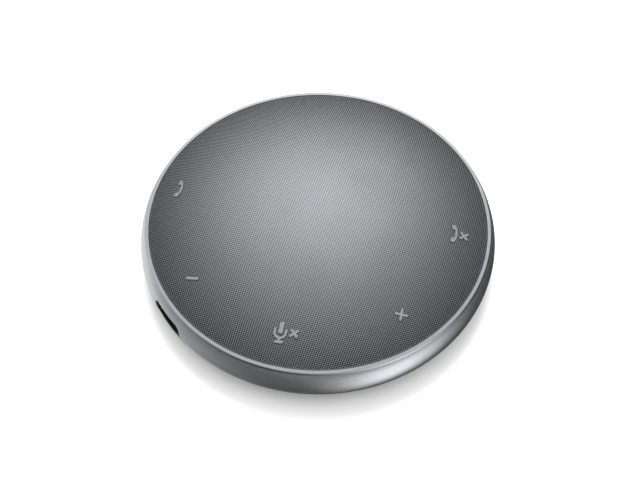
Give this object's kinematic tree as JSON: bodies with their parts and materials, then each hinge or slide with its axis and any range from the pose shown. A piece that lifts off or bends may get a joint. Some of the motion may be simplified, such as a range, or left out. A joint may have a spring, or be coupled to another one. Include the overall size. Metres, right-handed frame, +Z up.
{
  "type": "conference speakerphone",
  "caption": "Round tabletop conference speakerphone: silver puck body, domed perforated grille, raised push-key symbols, side ports, rubber foot ring.",
  "frame": {"origin": "centre of the base, at the height of the table it stands on", "axes": "+Z up through the crown of the grille, -Y to the front (the mute key), +X to the right as seen from the front"},
  "size_m": [0.12, 0.1199, 0.0243],
  "materials": {
    "silver_housing": "satin silver paint",
    "bright_rim": "brushed bright edge",
    "grille_metal": "satin dark grey, fine square perforation",
    "scrim_cloth": "matte black acoustic cloth",
    "cover_plastic": "fine spark texture",
    "foot_rubber": "matte",
    "plate_label": "satin, blank",
    "screw_steel": "zinc",
    "port_black": "satin black",
    "socket_nickel": "nickel plate",
    "insulator_plastic": "satin black",
    "contact_gold": "gold plate",
    "board_green": "solder mask",
    "chip_epoxy": "moulded epoxy",
    "component_can": "bare can",
    "key_grey": "satin light grey",
    "switch_plastic": "satin",
    "frame_plastic": "satin black",
    "basket_steel": "black stamped steel",
    "magnet_steel": "zinc plated",
    "coil_copper": "enamelled copper",
    "cone_paper": "pressed paper",
    "surround_rubber": "matte",
    "cable_white": "flat film cable",
    "lead_red": "wire sleeve"
  },
  "bodies": {
    "housing": {"acoustic_cloth": "scrim_cloth", "amplifier_chip": "chip_epoxy", "bezel_ring": "bright_rim", "board_screws": "screw_steel", "bottom_cover": "cover_plastic", "cable_connectors": "insulator_plastic", "capacitors": "component_can", "chamber_gasket": "foot_rubber", "crystal": "component_can", "driver_basket": "basket_steel", "driver_magnet": "magnet_steel", "driver_screws": "screw_steel", "driver_terminals": "board_green", "driver_top_plate": "magnet_steel", "driver_yoke": "magnet_steel", "dsp_chip": "chip_epoxy", "flash_chip": "chip_epoxy", "flat_cable": "cable_white", "foot_ring": "foot_rubber", "grille_mesh": "grille_metal", "housing_screws": "screw_steel", "hub_chip": "chip_epoxy", "inductors": "chip_epoxy", "key_board": "board_green", "key_board_screws": "screw_steel", "key_frame": "frame_plastic", "main_board": "board_green", "mic_boots": "foot_rubber", "mic_capsules": "component_can", "port_surround": "port_black", "rating_plate": "plate_label", "shield_can": "socket_nickel", "side_shell": "silver_housing", "speaker_chamber": "frame_plastic", "speaker_connector": "insulator_plastic", "speaker_leads": "lead_red", "spider": "cone_paper", "surround": "surround_rubber", "switch_cases": "switch_plastic", "usb_a_contacts": "contact_gold", "usb_a_insulator": "insulator_plastic", "usb_a_shell": "socket_nickel", "usb_c_insulator": "port_black", "usb_c_shell": "socket_nickel"},
    "key_answer": {"answer_key": "key_grey", "answer_plunger": "switch_plastic"},
    "key_volume_down": {"volume_down_key": "key_grey", "volume_down_plunger": "switch_plastic"},
    "key_mute": {"mute_key": "key_grey", "mute_plunger": "switch_plastic"},
    "key_volume_up": {"volume_up_key": "key_grey", "volume_up_plunger": "switch_plastic"},
    "key_end": {"end_key": "key_grey", "end_plunger": "switch_plastic"},
    "diaphragm": {"cone": "cone_paper", "coil_former": "cone_paper", "voice_coil": "coil_copper", "dust_cap": "cone_paper"}
  },
  "joints": [
    {"name": "answer_key_press", "type": "slide", "parent": "housing", "child": "key_answer", "axis": [0, 0, 1], "range_m": [-0.00035, 0], "stiffness_N_per_m": 3000},
    {"name": "volume_down_key_press", "type": "slide", "parent": "housing", "child": "key_volume_down", "axis": [0, 0, 1], "range_m": [-0.00035, 0], "stiffness_N_per_m": 3000},
    {"name": "mute_key_press", "type": "slide", "parent": "housing", "child": "key_mute", "axis": [0, 0, 1], "range_m": [-0.00035, 0], "stiffness_N_per_m": 3000},
    {"name": "volume_up_key_press", "type": "slide", "parent": "housing", "child": "key_volume_up", "axis": [0, 0, 1], "range_m": [-0.00035, 0], "stiffness_N_per_m": 3000},
    {"name": "end_key_press", "type": "slide", "parent": "housing", "child": "key_end", "axis": [0, 0, 1], "range_m": [-0.00035, 0], "stiffness_N_per_m": 3000},
    {"name": "diaphragm_stroke", "type": "slide", "parent": "housing", "child": "diaphragm", "axis": [0, 0, 1], "range_m": [-0.001, 0.001], "stiffness_N_per_m": 1500, "deforming": ["surround", "spider"]}
  ]
}
